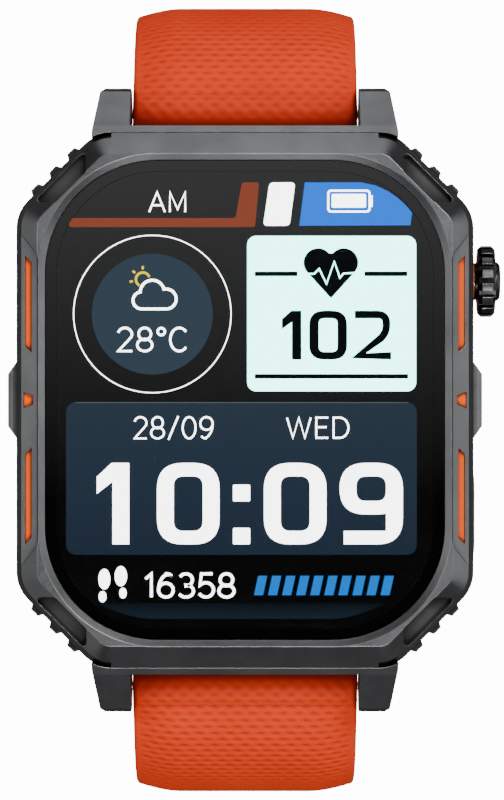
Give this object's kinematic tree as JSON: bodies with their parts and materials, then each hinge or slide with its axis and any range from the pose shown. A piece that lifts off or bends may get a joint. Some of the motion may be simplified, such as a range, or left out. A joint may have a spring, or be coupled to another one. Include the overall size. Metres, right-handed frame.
{
  "type": "gps running watch",
  "caption": "Octagonal metal sports watch with a tall rounded display, crown, side button and soft strap with buckle, shown unbuckled.",
  "frame": {"origin": "centre of the flat outer face of the heart-rate sensor window, which touches the wrist", "axes": "+Z out of the cover glass, +Y towards twelve o'clock, +X towards the crown"},
  "size_m": [0.0447, 0.0744, 0.0983],
  "materials": {
    "bezel_metal": "dark satin, bead-blasted and anodised",
    "case_metal": "dark satin, bead-blasted and anodised",
    "guard_metal": "lighter satin grey",
    "accent_orange": "satin orange lacquer",
    "strap_silicone": "soft matt orange-red silicone",
    "glass": "polished hardened cover glass",
    "display": "black display panel",
    "rear_plastic": "matt black fibre-filled plastic",
    "sensor_glass": "glossy dark sensor lens",
    "steel": "satin stainless steel",
    "dark_steel": "dark coated steel",
    "gold": "gold plated",
    "board_green": "solder-masked circuit board",
    "chip_black": "black epoxy",
    "battery_wrap": "foil pouch cell",
    "flex_amber": "polyimide flex",
    "gasket_black": "black rubber",
    "frame_plastic": "black inner plastic",
    "ceramic": "ceramic aerial block",
    "led": "clear domed emitters"
  },
  "bodies": {
    "case": {"battery": "battery_wrap", "battery_lead": "flex_amber", "bezel": "bezel_metal", "bezel_accents": "accent_orange", "bezel_gasket": "gasket_black", "board_chips": "chip_black", "board_screws": "steel", "board_shield": "steel", "button_spring": "steel", "button_switch": "chip_black", "buzzer": "gold", "case_screws": "dark_steel", "charging_contacts": "gold", "corner_grips": "case_metal", "cover_glass": "glass", "crown_accent_ring": "accent_orange", "crown_spring": "steel", "crown_switch": "chip_black", "crown_tube": "steel", "display_flex": "flex_amber", "display_panel": "display", "glass_adhesive": "gasket_black", "gps_antenna": "ceramic", "inner_frame": "frame_plastic", "main_board": "board_green", "mid_case": "case_metal", "motor_case": "steel", "rear_cover": "rear_plastic", "rear_gasket": "gasket_black", "sensor_board": "board_green", "sensor_flex": "flex_amber", "sensor_leds": "led", "sensor_window": "sensor_glass", "side_guards": "guard_metal"},
    "crown_slider": {"crown_thrust_cup": "steel"},
    "crown": {"crown_knob": "case_metal", "crown_cap": "guard_metal", "crown_stem": "steel", "crown_gasket": "gasket_black"},
    "button": {"button_cap": "guard_metal", "button_clip": "steel", "button_seal": "gasket_black"},
    "strap_upper": {"strap_buckle_side": "strap_silicone", "spring_bar_upper": "steel", "release_spring_upper": "steel", "fixed_keeper": "strap_silicone", "buckle_bar": "steel"},
    "strap_lower": {"strap_tip_side": "strap_silicone", "spring_bar_lower": "steel", "release_spring_lower": "steel"},
    "release_upper": {"release_pin_upper": "steel"},
    "release_lower": {"release_pin_lower": "steel"},
    "keeper": {"free_keeper": "strap_silicone"},
    "buckle": {"buckle_frame": "case_metal"},
    "tongue": {"buckle_tongue": "case_metal"},
    "motor": {"motor_rotor": "steel"}
  },
  "joints": [
    {"name": "crown_push", "type": "slide", "parent": "case", "child": "crown_slider", "axis": [-1, 0, 0], "range_m": [0, 0.00035], "stiffness_N_per_m": 3000, "springref_m": -0.0002, "deforming": ["crown_spring"]},
    {"name": "crown_turn", "type": "hinge", "parent": "crown_slider", "child": "crown", "pos_m": [0.02, 0.0108, 0.0056], "axis": [1, 0, 0], "continuous": true},
    {"name": "button_push", "type": "slide", "parent": "case", "child": "button", "axis": [-1, 0, 0], "range_m": [0, 0.00035], "stiffness_N_per_m": 3000, "springref_m": -0.0002, "deforming": ["button_spring"]},
    {"name": "strap_upper_swing", "type": "hinge", "parent": "case", "child": "strap_upper", "pos_m": [0, 0.02615, 0.0039], "axis": [1, 0, 0], "range_deg": [-6, 38]},
    {"name": "strap_lower_swing", "type": "hinge", "parent": "case", "child": "strap_lower", "pos_m": [0, -0.02615, 0.0039], "axis": [-1, 0, 0], "range_deg": [-6, 38]},
    {"name": "release_upper_slide", "type": "slide", "parent": "strap_upper", "child": "release_upper", "axis": [-1, 0, 0], "range_m": [0, 0.001], "stiffness_N_per_m": 400, "springref_m": -0.0005, "deforming": ["release_spring_upper"]},
    {"name": "release_lower_slide", "type": "slide", "parent": "strap_lower", "child": "release_lower", "axis": [-1, 0, 0], "range_m": [0, 0.001], "stiffness_N_per_m": 400, "springref_m": -0.0005, "deforming": ["release_spring_lower"]},
    {"name": "keeper_slide", "type": "slide", "parent": "strap_upper", "child": "keeper", "axis": [0, 0.2079, 0.9781], "range_m": [0, 0.014]},
    {"name": "buckle_swing", "type": "hinge", "parent": "strap_upper", "child": "buckle", "pos_m": [0, 0.02666, -0.05776], "axis": [1, 0, 0], "range_deg": [-15, 45]},
    {"name": "tongue_swing", "type": "hinge", "parent": "buckle", "child": "tongue", "pos_m": [0, 0.02666, -0.05776], "axis": [1, 0, 0], "range_deg": [0, 60]},
    {"name": "motor_spin", "type": "hinge", "parent": "case", "child": "motor", "pos_m": [-0.006, -0.017, 0.004], "axis": [0, 0, 1], "continuous": true}
  ]
}
